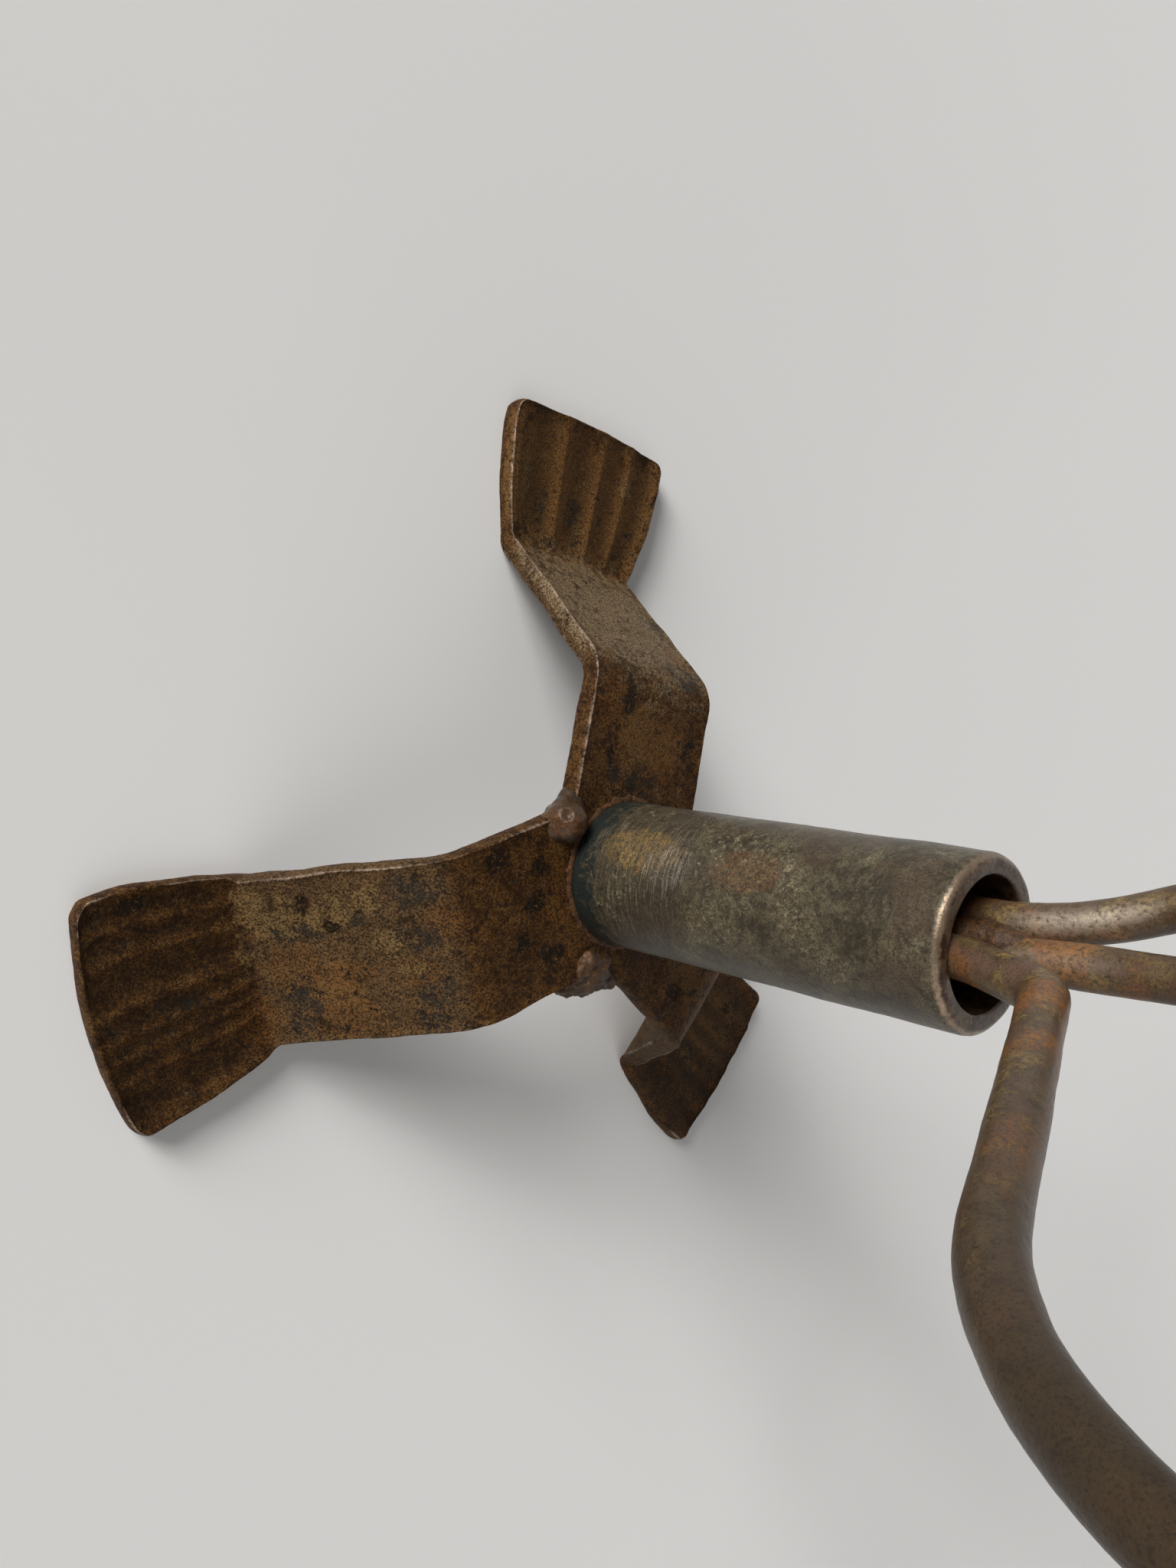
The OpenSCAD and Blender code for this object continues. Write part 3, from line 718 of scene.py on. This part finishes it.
def make_leg(leg):
    count = len(leg_bearings)
    mitres = [mitre_between(leg, (leg + 1) % count), mitre_between(leg, (leg - 1) % count)]
    bm = make_blank(leg, mitres)
    flat = {vertex: vertex.co.x for vertex in bm.verts}
    bend(bm, flat, heel_start, heel_radius, -slope)
    bend(bm, flat, crest_start, crest_radius, slope)
    bmesh.ops.translate(bm, verts=bm.verts, vec=(0, 0, hub_height - bar_thickness / 2))
    bmesh.ops.rotate(bm, cent=(0, 0, 0), matrix=Matrix.Rotation(leg_bearings[leg], 3, "Z"), verts=bm.verts)
    node_name = f"leg_{leg + 1}"
    piece = make_piece(bm, node_name)
    subdivide(piece, 1)
    press_flutes(piece, ridges_of_legs[leg])
    dent(piece, hammer_size, hammer_depth, leg)
    dent(piece, ripple_size, ripple_depth, leg + 3)
    dent(piece, pit_size, pit_depth, leg + 5)
    for vertex in piece.data.vertices:
        vertex.co.z = max(vertex.co.z, sole_gap)
    deliver(piece, node_name)


for leg in range(len(leg_bearings)):
    make_leg(leg)

# %% [markdown]
# The stem is a length of half-inch pipe. A pipe is a revolved section: the wall is drawn once as a thin
# rectangle. Its upper corners are beveled round, the outer one more, as wear has done, and it is spun a
# full turn. The mesh keeps where the rim is worn, and where the mouth is soiled.
# The candle cups are short lengths of a wider pipe, so the same function makes them.

# %% Pipes
rim_radius = 1.2 * mm
bore_rim_radius = 0.35 * mm
stem_wall = 2.65 * mm
cup_wall = 2.3 * mm
pipe_cell = 0.7 * mm


def make_pipe(node_name, wall, seed):
    low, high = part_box(node_name)
    centre = (low + high) / 2
    outer = (high.x - low.x) / 2
    bm = bmesh.new()
    corners = [(outer - wall, low.z), (outer, low.z), (outer, high.z), (outer - wall, high.z)]
    section = bm.faces.new([bm.verts.new((x, 0, z)) for x, z in corners])
    for x, radius in ((outer, rim_radius), (outer - wall, bore_rim_radius)):
        corner = min(bm.verts, key=lambda vertex: (vertex.co - Vector((x, 0, high.z))).length)
        bmesh.ops.bevel(bm, geom=[corner], offset=radius, segments=5, profile=0.5, affect="VERTICES", material=-1)
    bmesh.ops.delete(bm, geom=list(bm.faces), context="FACES_ONLY")
    long_edges = [edge for edge in bm.edges if edge.calc_length() > (high.z - low.z) / 2]
    cuts = round((high.z - low.z) / pipe_cell)
    bmesh.ops.subdivide_edges(bm, edges=long_edges, cuts=cuts)
    steps = round(2 * math.pi * outer / pipe_cell)
    bmesh.ops.spin(bm, geom=bm.verts[:] + bm.edges[:], cent=(0, 0, 0), axis=(0, 0, 1),
                   angle=2 * math.pi, steps=steps, use_merge=True)
    wear_and_highlight = bm.verts.layers.float.new("wear_and_highlight")
    mouth = bm.verts.layers.float.new("mouth")
    for vertex in bm.verts:
        below = abs(high.z - rim_radius / 3 - vertex.co.z)
        inside = abs(outer - rim_radius / 3 - vertex.co.xy.length)
        vertex[wear_and_highlight] = max(0.0, 1 - max(below, inside) / rim_radius)
        vertex[mouth] = 1.0 if vertex.co.z > high.z - rim_radius / 2 or vertex.co.xy.length < outer - wall / 2 else 0.0
    bmesh.ops.translate(bm, verts=bm.verts, vec=(centre.x, centre.y, 0))
    piece = make_piece(bm, node_name)
    dent(piece, 9 * mm, 0.16 * mm, seed)
    dent(piece, 1.6 * mm, 0.04 * mm, seed + 3)
    deliver(piece, node_name)


make_pipe("stem_pipe", stem_wall, 1)
arm_numbers = (1, 2, 3)
for number in arm_numbers:
    make_pipe(f"candle_cup_{number}", cup_wall, number + 1)

# %% [markdown]
# An arm is one bar bent in one plane: up the stem, a lean out of the mouth, a sharp knee, a long slope and
# a wide elbow. A curve with a bevel could make it, but spinning the end of the bar round each bend's centre
# is what a bending fork does, and it leaves clean rings. The corners and radii are the model's own.

# %% Arms
rod_radius = 2.5 * mm
rod_gap = 0.1 * mm
rod_sides = 24
rod_cell = 0.6 * mm
knee_radius = 6 * mm
elbow_radius = 38 * mm
arm_rise = math.radians(23.1)
arm_reach = 73 * mm
knee_height = 12.1 * mm
knee_step = 10 * mm
arm_bearings = [math.radians(bearing) for bearing in (200, 70, 320)]
arm_leans = [math.radians(lean) for lean in (22, 24, -5)]
lean_heights = [0.5 * mm, 6.6 * mm, 1 * mm]
lean_radii = [12 * mm, 40 * mm, 40 * mm]
mouth_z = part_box("stem_pipe")[1].z
heated_length = 28 * mm
# A painted highlight on the arms: a light streak on the side that faces the light, a little above the mouth, stronger
# on some arms than on others.
highlight_height = 9 * mm
highlight_reach = 6 * mm
highlight_side = Vector((-0.95, 0.1, 0.3)).normalized()
highlight_of_arms = [0.0, 1.0, 0.4]


def polar(radius, angle):
    return Vector((radius * math.cos(angle), radius * math.sin(angle)))


bore_radius = stem_radius - stem_wall
rod_step = 2 * rod_radius + rod_gap
rod_1 = polar(bore_radius - rod_radius - rod_gap, arm_bearings[0])
rod_3 = rod_1 + polar(rod_step, math.radians(10))
rod_2 = rod_3 + polar(rod_step, math.radians(48))
rod_places = [rod_1, rod_2, rod_3]


def arm_corners(index):
    """The arm's corners in its own plane: X outwards from its own rod, Y up from the ground."""
    reach = arm_reach - rod_places[index].dot(polar(1, arm_bearings[index]))
    lean = Vector((0, mouth_z + lean_heights[index]))
    rise = knee_height + index * knee_step - lean_heights[index]
    knee = lean + Vector((rise * math.tan(arm_leans[index]), rise))
    elbow = Vector((reach, knee.y + (reach - knee.x) * math.tan(arm_rise)))
    top = Vector((reach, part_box(f"drip_pan_{index + 1}")[0].z))
    return [Vector((0, hub_height)), lean, knee, elbow, top]


def draw_bar(corners, radii):
    """A round bar through the corners, with a bend of the given radius at each inner one."""
    bm = bmesh.new()
    bmesh.ops.create_circle(bm, segments=rod_sides, radius=rod_radius)
    start = Matrix.Translation((corners[0].x, 0, corners[0].y))
    bmesh.ops.transform(bm, matrix=start, verts=bm.verts)
    end = list(bm.edges)
    place = corners[0]
    for here, ahead, radius in zip(corners, corners[1:], radii + [0]):
        way = (ahead - here).normalized()
        after = corners[corners.index(ahead) + 1] - ahead if radius else way
        turn = way.angle_signed(after)
        cut = radius * math.tan(abs(turn) / 2)
        length = (ahead - place).length - cut
        steps = max(1, round(length / rod_cell))
        stride = Vector((way.x, 0, way.y)) * (length / steps)
        end = spin_on(bm, end, dvec=stride, steps=steps)
        place = ahead - way * cut
        if radius:
            inward = Vector((way.y, -way.x)) * math.copysign(radius, turn)
            centre = place + inward
            steps = max(4, round(radius * abs(turn) / rod_cell))
            end = spin_on(bm, end, cent=(centre.x, 0, centre.y), axis=(0, 1, 0), angle=turn, steps=steps)
            place = ahead + after.normalized() * cut
    bmesh.ops.holes_fill(bm, edges=bm.edges, sides=rod_sides)
    return bm


def spin_on(bm, end, **settings):
    made = bmesh.ops.spin(bm, geom=end, **settings)
    return [item for item in made["geom_last"] if isinstance(item, bmesh.types.BMEdge)]


def keep_handling(bm, highlight_share):
    """Keeps where the bar was heated near the stem's mouth, which also sets how little painted shade it gets, where a
    highlight is painted on the side that faces the light, and what faces up.
    """
    heated = bm.verts.layers.float.new("heated")
    wear_and_highlight = bm.verts.layers.float.new("wear_and_highlight")
    upper = bm.verts.layers.float.new("upper")
    bmesh.ops.recalc_face_normals(bm, faces=bm.faces)
    bm.normal_update()
    for vertex in bm.verts:
        above_mouth = vertex.co.z - mouth_z
        vertex[upper] = max(0.0, vertex.normal.z)
        vertex[heated] = min(1.0, max(0.0, 1.5 - above_mouth / heated_length))
        # The painted highlight goes on the side that faces the light.
        facing_highlight_side = max(0.0, vertex.normal.dot(highlight_side)) ** 8
        vertex[wear_and_highlight] = highlight_share * facing_highlight_side * min(1.0, max(0.0, 1.5 - abs(above_mouth - highlight_height) / highlight_reach))


def make_arm(index):
    node_name = f"arm_{index + 1}"
    bm = draw_bar(arm_corners(index), [lean_radii[index], knee_radius, elbow_radius])
    bmesh.ops.rotate(bm, cent=(0, 0, 0), matrix=Matrix.Rotation(arm_bearings[index], 3, "Z"), verts=bm.verts)
    bmesh.ops.translate(bm, verts=bm.verts, vec=(*rod_places[index], 0))
    keep_handling(bm, highlight_of_arms[index])
    piece = make_piece(bm, node_name)
    dent(piece, 8 * mm, 0.12 * mm, index)
    dent(piece, 1.5 * mm, 0.03 * mm, index + 4)
    deliver(piece, node_name)


for index in range(len(arm_bearings)):
    make_arm(index)

# %% [markdown]
# A drip pan is a disc of sheet beaten into a shallow dish. Its section is spun like the pipes': a flat
# middle, an upturned border in an arc, and a rounded lip.

# %% Drip pans
pan_thickness = 1.5 * mm
pan_flat = 16 * mm
pan_dish = 24 * mm
pan_angle = math.radians(31)
pan_cell = 0.8 * mm


def make_pan(number):
    node_name = f"drip_pan_{number}"
    low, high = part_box(node_name)
    centre = (low + high) / 2
    bm = bmesh.new()
    sheet = [bm.verts.new((0, 0, 0)), bm.verts.new((0, 0, pan_thickness))]
    end = [bm.edges.new(sheet)]
    steps = round(pan_flat / pan_cell)
    end = spin_on(bm, end, dvec=(pan_flat / steps, 0, 0), steps=steps)
    steps = round(pan_dish * pan_angle / pan_cell)
    end = spin_on(bm, end, cent=(pan_flat, 0, pan_thickness + pan_dish), axis=(0, 1, 0),
                  angle=-pan_angle, steps=steps)
    lip = [vertex for edge in end for vertex in edge.verts]
    bmesh.ops.bevel(bm, geom=lip, offset=pan_thickness * 0.45, segments=4, profile=0.5,
                    affect="VERTICES", material=-1)
    outline = [edge for edge in bm.edges if edge.is_boundary and edge.verts[0].co.x + edge.verts[1].co.x > 0]
    inner = [item for item in bm.faces[:] + bm.edges[:] if item not in outline]
    bmesh.ops.delete(bm, geom=list(bm.faces), context="FACES_ONLY")
    bmesh.ops.delete(bm, geom=[edge for edge in bm.edges if edge not in outline], context="EDGES")
    steps = round(2 * math.pi * (high.x - low.x) / 2 / pan_cell / 1.5)
    bmesh.ops.spin(bm, geom=bm.verts[:] + bm.edges[:], cent=(0, 0, 0), axis=(0, 0, 1),
                   angle=2 * math.pi, steps=steps, use_merge=True)
    wear_and_highlight = bm.verts.layers.float.new("wear_and_highlight")
    rim = (high.x - low.x) / 2 - pan_thickness
    for vertex in bm.verts:
        vertex[wear_and_highlight] = min(1.0, max(0.0, (vertex.co.xy.length - rim) / pan_thickness))
    bmesh.ops.translate(bm, verts=bm.verts, vec=(centre.x, centre.y, low.z))
    piece = make_piece(bm, node_name)
    dent(piece, 6 * mm, 0.25 * mm, number)
    dent(piece, 1.4 * mm, 0.05 * mm, number + 6)
    deliver(piece, node_name)


for number in arm_numbers:
    make_pan(number)

# %% [markdown]
# A weld is a row of frozen drops. Balls are laid where the drops fell, and a voxel remesh melts them into
# one closed skin. Smoothing rounds the joins between them, and two sizes of noise give the crust. Where
# the filler was dabbed round a joint, the drops are small and of uneven size.

# %% Welds
weld_voxel = 0.22 * mm
# The welds' heat share also keeps most of the arms' painted shade off them.
heat_of_welds = 0.5

ball = bmesh.new()
bmesh.ops.create_icosphere(ball, subdivisions=3, radius=1)
ball_points = [vertex.co.copy() for vertex in ball.verts]
ball_faces = [[vertex.index for vertex in face.verts] for face in ball.faces]
ball.free()


def make_weld(node_name, drops, seed, smoothing=10, crust=0.2 * mm, rustiness=0.0):
    """drops are (place, radius) pairs."""
    points = [place + point * radius for place, radius in drops for point in ball_points]
    faces = [[index + drop * len(ball_points) for index in face] for drop in range(len(drops)) for face in ball_faces]
    mesh = bpy.data.meshes.new(node_name + "_forged")
    mesh.from_pydata(points, [], faces)
    piece = bpy.data.objects.new(node_name + "_forged", mesh)
    bpy.context.scene.collection.objects.link(piece)
    melt = piece.modifiers.new("melt", "REMESH")
    melt.mode = "VOXEL"
    melt.voxel_size = weld_voxel
    ease = piece.modifiers.new("ease", "SMOOTH")
    ease.iterations = smoothing
    bake_modifiers(piece)
    dent(piece, 2.4 * mm, crust, seed)
    dent(piece, 0.9 * mm, crust * 0.8, seed + 1)
    for name, value in (("rusty", rustiness), ("heated", heat_of_welds)):
        kept = piece.data.attributes.new(name, "FLOAT", "POINT")
        kept.data.foreach_set("value", [value] * len(piece.data.vertices))
    return piece


def ring_of_drops(centre, radius, drop, seed):
    """An even row of drops round a joint, with smaller ones scattered over it."""
    shake = random.Random(seed)
    count = round(2 * math.pi * radius / (drop * 0.7))
    drops = []
    for step in range(count):
        turn = 2 * math.pi * step / count
        drops.append((centre + polar_3d(radius, turn), drop * shake.uniform(0.75, 0.95)))
        turn += shake.uniform(0, 2 * math.pi / count)
        place = centre + polar_3d(radius + drop * shake.uniform(-0.2, 0.9), turn)
        drops.append((place + Vector((0, 0, drop * shake.uniform(-0.2, 0.2))), drop * shake.uniform(0.35, 0.75)))
    return drops


def polar_3d(radius, turn):
    return Vector((*polar(radius, turn), 0))


def ring_weld(node_name, radius, drop, level, seed, rustiness=0.3):
    low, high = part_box(node_name)
    centre = (low + high) / 2
    centre.z = level(low, high)
    drops = ring_of_drops(centre, radius, drop, seed)
    piece = make_weld(node_name, drops, seed, smoothing=4, crust=0.15 * mm, rustiness=rustiness)
    deliver(piece, node_name)


cup_radius = (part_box("candle_cup_1")[1].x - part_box("candle_cup_1")[0].x) / 2
ring_weld("stem_weld", stem_radius + 0.1 * mm, 0.7 * mm, lambda low, high: low.z - 0.2 * mm, 1, rustiness=1.0)
for number in arm_numbers:
    ring_weld(f"cup_weld_{number}", cup_radius, 1.0 * mm, lambda low, high: low.z + 0.1 * mm, number + 1)
    ring_weld(f"pan_weld_{number}", rod_radius + 0.3 * mm, 1.2 * mm, lambda low, high: high.z - 0.4 * mm, number + 4)

# %% [markdown]
# At the hub's corners the welder stayed longer. The first weld is a drop with a crater in its head, drawn
# out along both plates. The second is a broad crust that ran over the edge. The third is on the far side.
# Places are in millimetres from the corner of the plates: outwards, round the stem, and up.

# %% Hub welds
corner_distance = [bar_width / 2 / math.sin(mitre_between(i, (i + 1) % 3)) for i in range(3)]
seam_bearings = [leg_bearings[i] + mitre_between(i, (i + 1) % 3) for i in range(3)]
hub_drops = [
    [((-0.5, 2.0, -0.1), 3.2), ((-0.4, 0.7, -0.9), 2.7), ((0.1, -1.4, -1.6), 1.9), ((0.1, 3.6, -1.2), 2.4),
     ((-0.2, 4.9, -1.8), 1.8), ((0.1, -3.0, -2.0), 1.4), ((-0.5, 1.3, -2.4), 2.1), ((-0.8, 0.8, -3.6), 1.7)],
    [((-0.6, -3.1, -0.9), 2.1), ((-0.5, -0.9, -0.9), 2.0), ((0.8, -3.7, -1.3), 2.3), ((0.8, -0.6, -1.4), 2.3),
     ((2.1, -4.4, -2.2), 2.0), ((2.2, -2.2, -2.0), 2.4), ((2.2, 0.1, -2.4), 2.0), ((3.4, -5.4, -3.0), 1.5),
     ((3.7, -3.6, -3.0), 1.8), ((3.4, -1.4, -3.2), 1.9), ((1.6, -2.4, -3.6), 2.4), ((0.3, 1.6, -1.7), 1.6),
     ((2.6, -3.2, -4.4), 1.8), ((1.5, 1.9, -2.0), 1.7), ((2.0, 3.0, -2.2), 1.5)],
    [((0.1, 0.3, -0.6), 2.8), ((0.9, -1.9, -1.6), 2.3), ((0.8, 2.2, -1.7), 2.1), ((0.8, 0.2, -3.2), 2.2)],
]
skin_of_hub_welds = [(14, 0.12 * mm), (5, 0.6 * mm), (8, 0.3 * mm)]
crater_radius = 1.1 * mm
crater_depth = 0.42 * mm


def sink_crater(piece, centre, radius):
    """Presses a crater with a raised lip into the side of a drop that faces up and outwards."""
    way = (Vector((centre.x, centre.y, 0)).normalized() + Vector((0, 0, 1))).normalized()
    crown = centre + way * radius
    for vertex in piece.data.vertices:
        ragged = 1 + 0.5 * noise.noise(vertex.co / crater_radius)
        reach = (vertex.co - crown).length / crater_radius * ragged
        if reach < 2:
            vertex.co -= way * crater_depth * (math.cos(reach * math.pi / 1.5) * (1 - reach / 2))
    piece.data.update()


def make_hub_weld(corner_index):
    turn = Matrix.Rotation(seam_bearings[corner_index], 3, "Z")
    corner = Vector((corner_distance[corner_index], 0, hub_height))
    drops = [(turn @ (corner + Vector(place) * mm), radius * mm) for place, radius in hub_drops[corner_index]]
    node_name = f"hub_weld_{corner_index + 1}"
    smoothing, crust = skin_of_hub_welds[corner_index]
    piece = make_weld(node_name, drops, corner_index + 10, smoothing, crust, rustiness=corner_index * 0.35)
    if corner_index == 0:
        sink_crater(piece, *drops[0])
    deliver(piece, node_name)


for corner_index in range(len(leg_bearings)):
    make_hub_weld(corner_index)

# %% [markdown]
# In the stem's mouth a flat weld binds the three bars. It lies low between them, from just inside the mouth
# to where they part.

# %% Weld that binds the arms
def between_rods(height, share, radius):
    across = rod_1.lerp(rod_2, share)
    return Vector((*across, mouth_z + height * mm)), radius * mm


binding_drops = [
    between_rods(-4, 0.5, 1.9), between_rods(-2, 0.48, 2.3), between_rods(0, 0.52, 2.5),
    between_rods(1.8, 0.5, 2.3), between_rods(3.6, 0.52, 1.7), between_rods(5, 0.55, 1.1),
]
deliver(make_weld("bundle_weld", binding_drops, 20, smoothing=20, crust=0.08 * mm, rustiness=0.5), "bundle_weld")
root_weld = frame["nodes"]["root_weld"]
root_weld.data.materials.clear()
root_weld.data.materials.append(finishes["weld_metal"])

# %% [markdown]
# The stage is a plain pale floor. One wide soft sun stands low on the side that was the sky in the
# photograph, a narrow one in the same direction sharpens the highlights, a weaker one stands on the near side,
# and the world fills the shadows. Suns light the floor evenly, which lamps close to it don't. Behind the
# floor's edge the camera sees plain white.

# %% Floor and light
floor_colour = (0.86, 0.85, 0.83, 1)
floor_size = 8
world_colour = (1.0, 0.99, 0.97, 1)
world_strength = 0.12
backdrop_colour = (0.86, 0.86, 0.86, 1)

floor_bm = bmesh.new()
bmesh.ops.create_grid(floor_bm, x_segments=1, y_segments=1, size=floor_size)
floor_mesh = bpy.data.meshes.new("floor")
floor_bm.to_mesh(floor_mesh)
floor_bm.free()
floor = bpy.data.objects.new("floor", floor_mesh)
bpy.context.scene.collection.objects.link(floor)
floor_finish = bpy.data.materials.new("floor")
floor_finish.use_nodes = True
floor_finish.node_tree.nodes["Principled BSDF"].inputs["Base Color"].default_value = floor_colour
floor_finish.node_tree.nodes["Principled BSDF"].inputs["Roughness"].default_value = 0.95
floor_mesh.materials.append(floor_finish)


def soft_sun(name, direction, spread, strength):
    lamp = bpy.data.lights.new(name, "SUN")
    lamp.angle = math.radians(spread)
    lamp.energy = strength
    sun = bpy.data.objects.new(name, lamp)
    sun.location = Vector(direction).normalized()
    sun.rotation_euler = Vector(direction).to_track_quat("Z", "Y").to_euler()
    bpy.context.scene.collection.objects.link(sun)
    print(name, "shines from", [round(c, 2) for c in sun.location])


soft_sun("sky_sun", (-0.80, 0.52, 0.29), 34, 4.2)
soft_sun("window_sun", (-0.80, 0.52, 0.29), 9, 0.7)
soft_sun("near_side_sun", (-0.15, -0.75, 0.6), 70, 0.7)

world = bpy.data.worlds.new("world")
world.use_nodes = True
sky = world.node_tree
rays = node(sky, "LightPath", {})
seen = math_of(sky, "MAXIMUM", rays.outputs["Is Camera Ray"], rays.outputs["Is Transmission Ray"])
seen = math_of(sky, "MAXIMUM", seen, rays.outputs["Is Glossy Ray"])
fill = sky.nodes["Background"]
fill.inputs["Color"].default_value = world_colour
fill.inputs["Strength"].default_value = world_strength
backdrop = node(sky, "Background", {"Color": backdrop_colour})
shown = node(sky, "MixShader", {0: seen, 1: fill.outputs[0], 2: backdrop.outputs[0]})
sky.links.new(shown.outputs[0], sky.nodes["World Output"].inputs["Surface"])
bpy.context.scene.world = world
bpy.context.scene.view_settings.view_transform = "Standard"
